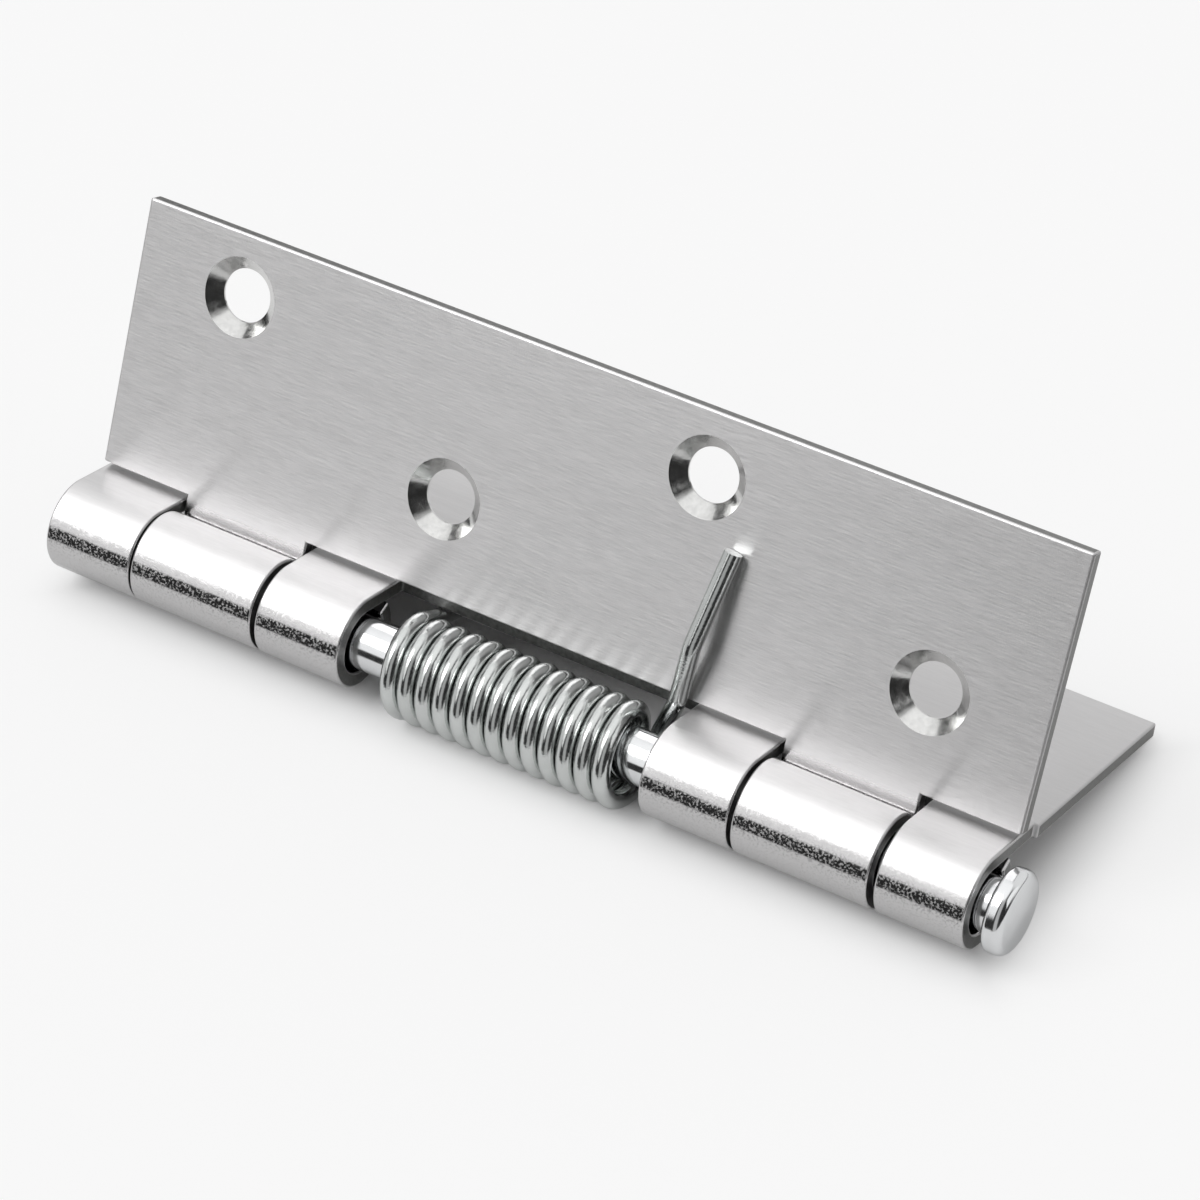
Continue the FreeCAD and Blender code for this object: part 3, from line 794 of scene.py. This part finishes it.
class HINGE_OT_swing_leaf(bpy.types.Operator):
    """Model the leaf that stands up"""

    bl_idname = "hinge.swing_leaf"
    bl_label = "Swing Leaf"

    def execute(self, context):
        size = in_millimetres(context.scene.hinge_sizes)
        ends = knuckle_ends(size)
        depth = size["barrel"] + size["notch_gap"]
        whole = size["leaf_length"]
        notches = (
            (-1.0, whole - ends["sixth"] + size["gap_fifth_sixth"], depth),
            (
                whole - ends["right_notch"] - size["gap_fourth_fifth"],
                whole - ends["third"] + size["gap_second_third"],
                depth,
            ),
            (whole - ends["first"] - size["gap_first_second"], whole + 1.0, depth),
        )
        leaf = model_leaf("standing_leaf", size, notches)
        settle(leaf, SWING_PLACE)
        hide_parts("swing_leaf")
        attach(leaf, "swing_side")
        return {"FINISHED"}


class HINGE_OT_pin(bpy.types.Operator):
    """Model the pin with its head and riveted end"""

    bl_idname = "hinge.pin"
    bl_label = "Pin"

    def execute(self, context):
        size = in_millimetres(context.scene.hinge_sizes)
        pin = turned_piece("headed_pin", pin_outline(size))
        smooth(pin, 35.0)
        settle(pin, FIXED_PLACE, pin_material(context.scene.hinge_finish.pin_steel))
        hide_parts("hinge_pin")
        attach(pin, "fixed_side")
        return {"FINISHED"}


class HINGE_OT_spring(bpy.types.Operator):
    """Model the torsion spring between the leaves"""

    bl_idname = "hinge.spring"
    bl_label = "Torsion Spring"

    def execute(self, context):
        size = in_millimetres(context.scene.hinge_sizes)
        spring = model_spring(size)
        finish = wire_material(context.scene.hinge_finish.wire_steel)
        settle(spring, FIXED_PLACE, finish)
        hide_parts("torsion_spring")
        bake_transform(spring)
        return {"FINISHED"}


def build_world(stage, floor):
    """Light from above, a pale backdrop and a dim room in front; the camera sees the floor's tone."""
    world = bpy.data.worlds.new("studio_light")
    bpy.context.scene.world = world
    world.use_nodes = True
    tree = world.node_tree
    direction = node(tree, "ShaderNodeTexCoord").outputs["Generated"]
    across, away, upward = node(tree, "ShaderNodeSeparateXYZ", {0: direction}).outputs

    # The height at which the light from above starts: low where the knuckles mirror it, and higher
    # to both sides, but low again on the far right, where it lights the back of the leaves.
    start = maths(
        tree, "ADD", spread(tree, across, -0.33, -0.13, 0.20, 0.90),
        spread(tree, across, -1.0, -0.50, 0.81, 0.0),
    )
    far_right = maths(
        tree, "MULTIPLY", spread(tree, across, 0.62, 0.78, 0.0, 0.66),
        spread(tree, away, -0.26, -0.18, 0.0, 1.0),
    )
    height = maths(tree, "SUBTRACT", upward, maths(tree, "SUBTRACT", start, far_right))
    above = spread(tree, height, -0.02, 0.02, 0.0, 1.0, smooth_step=True)
    panel = spread(tree, upward, 0.8, 0.92, stage.slanting, stage.overhead, smooth_step=True)

    room = node(tree, "ShaderNodeValToRGB", {0: spread(tree, across, -1.0, 1.0, 0.0, 1.0)})
    ramp = room.color_ramp
    ramp.interpolation = "EASE"
    for place, bright in ROOM:
        stop = ramp.elements.new((place + 1.0) / 2.0)
        tone = stage.horizon + bright * (stage.window - stage.horizon)
        stop.color = (tone, tone, tone, 1.0)
    ramp.elements.remove(ramp.elements[0])
    ramp.elements.remove(ramp.elements[-1])
    left = maths(
        tree, "MULTIPLY", spread(tree, across, -0.66, -0.56, stage.left_side, 0.0, smooth_step=True),
        spread(tree, away, 0.0, 0.12, 1.0, 0.0, smooth_step=True),
    )
    front = maths(tree, "ADD", room.outputs[0], left)
    behind = spread(tree, upward, -0.03, 0.03, stage.horizon, stage.backdrop, smooth_step=True)
    low = spread(tree, away, 0.05, 0.5, front, behind, smooth_step=True)

    tone = node(tree, "ShaderNodeMix", {0: above, 2: low, 3: panel}, data_type="FLOAT").outputs[0]
    grey = node(tree, "ShaderNodeCombineColor", {0: tone, 1: tone, 2: tone}).outputs[0]
    seen = node(tree, "ShaderNodeLightPath").outputs["Is Camera Ray"]
    pale = node(tree, "ShaderNodeMix", {0: seen, 6: grey, 7: (*floor, 1.0)}, data_type="RGBA")
    tree.links.new(pale.outputs[2], tree.nodes["Background"].inputs["Color"])


def build_floor(stage, pale):
    """The plain pale floor; what the metal mirrors of it ends a little way out."""
    deselect()
    bpy.ops.mesh.primitive_plane_add(size=12.0, location=(0.0, 0.0, 0.0))
    floor = bpy.context.object
    floor.name = "floor"
    material = bpy.data.materials.new("pale_floor")
    material.use_nodes = True
    tree = material.node_tree
    shader = tree.nodes["Principled BSDF"]
    shader.inputs["Roughness"].default_value = 0.9
    shader.inputs["Specular IOR Level"].default_value = 0.0
    seen = node(tree, "ShaderNodeLightPath").outputs["Is Camera Ray"]
    dimmer = [stage.mirrored_floor * value for value in pale]
    base = node(tree, "ShaderNodeMix", {0: seen, 6: (*dimmer, 1.0), 7: (*pale, 1.0)}, data_type="RGBA")
    tree.links.new(base.outputs[2], shader.inputs["Base Color"])

    place = node(tree, "ShaderNodeTexCoord").outputs["Object"]
    split = node(tree, "ShaderNodeSeparateXYZ", {0: place})
    sideways = maths(tree, "ABSOLUTE", split.outputs[0])
    along = maths(tree, "DIVIDE", sideways, stage.near_floor[0])
    forward = maths(tree, "DIVIDE", split.outputs[1], -stage.near_floor[1])
    far = spread(tree, maths(tree, "MAXIMUM", along, forward), 0.97, 1.03, 0.0, 1.0, smooth_step=True)
    mirrored = maths(tree, "MULTIPLY", far, maths(tree, "SUBTRACT", 1.0, seen))

    beside = maths(tree, "SUBTRACT", sideways, CAD_BOX[1].x)
    before = maths(tree, "SUBTRACT", maths(tree, "ABSOLUTE", split.outputs[1]), CAD_BOX[1].y)
    outside = maths(tree, "MAXIMUM", beside, before)
    clear = spread(tree, outside, -0.006, 0.003, 0.0, stage.glow, smooth_step=True)
    plain = node(tree, "ShaderNodeEmission", {"Color": (*pale, 1.0), "Strength": 1.0})
    glowing = maths(tree, "MULTIPLY", clear, seen)
    lit = node(tree, "ShaderNodeMixShader", {0: glowing, 1: shader.outputs[0], 2: plain.outputs[0]})
    gone = node(tree, "ShaderNodeBsdfTransparent")
    ended = node(tree, "ShaderNodeMixShader", {0: mirrored, 1: lit.outputs[0], 2: gone.outputs[0]})
    tree.links.new(ended.outputs[0], tree.nodes["Material Output"].inputs[0])
    floor.data.materials.append(material)


class HINGE_OT_stage(bpy.types.Operator):
    """Make the floor, the lights and the camera"""

    bl_idname = "hinge.stage"
    bl_label = "Stage"

    def execute(self, context):
        stage = context.scene.hinge_stage
        finish = context.scene.hinge_finish
        build_floor(stage, finish.floor)
        build_world(stage, finish.floor)
        towards = Vector(stage.sun_from).to_track_quat("Z", "Y").to_euler()
        bpy.ops.object.light_add(type="SUN", rotation=towards)
        sun = context.object
        sun.name = "broad_key"
        sun.data.energy = stage.sun
        sun.data.angle = stage.sun_width
        bpy.ops.object.camera_add(location=stage.camera_place, rotation=stage.camera_turn)
        camera = context.object
        camera.name = "photo_camera"
        camera.data.lens = stage.lens
        camera.data.sensor_width = 36.0
        camera.data.clip_start = 0.01
        context.scene.camera = camera
        context.scene.view_settings.view_transform = "Standard"
        return {"FINISHED"}


class HINGE_PT_panel(bpy.types.Panel):
    """Buttons for the pieces of the hinge"""

    bl_idname = "HINGE_PT_panel"
    bl_label = "Spring Hinge"
    bl_space_type = "VIEW_3D"
    bl_region_type = "UI"
    bl_category = "Spring Hinge"

    def draw(self, context):
        for operator in PIECES:
            self.layout.operator(operator.bl_idname)


PIECES = (
    HINGE_OT_stage, HINGE_OT_fixed_leaf, HINGE_OT_swing_leaf, HINGE_OT_pin, HINGE_OT_spring,
)
CLASSES = (HingeSizes, HingeFinish, HingeStage, *PIECES, HINGE_PT_panel)


def register():
    for made in CLASSES:
        bpy.utils.register_class(made)
    bpy.types.Scene.hinge_sizes = bpy.props.PointerProperty(type=HingeSizes)
    bpy.types.Scene.hinge_finish = bpy.props.PointerProperty(type=HingeFinish)
    bpy.types.Scene.hinge_stage = bpy.props.PointerProperty(type=HingeStage)


def unregister():
    del bpy.types.Scene.hinge_stage
    del bpy.types.Scene.hinge_finish
    del bpy.types.Scene.hinge_sizes
    for made in reversed(CLASSES):
        bpy.utils.unregister_class(made)


def main():
    register()
    bpy.ops.hinge.stage()
    bpy.ops.hinge.fixed_leaf()
    bpy.ops.hinge.swing_leaf()
    bpy.ops.hinge.pin()
    bpy.ops.hinge.spring()


if __name__ == "__main__":
    main()
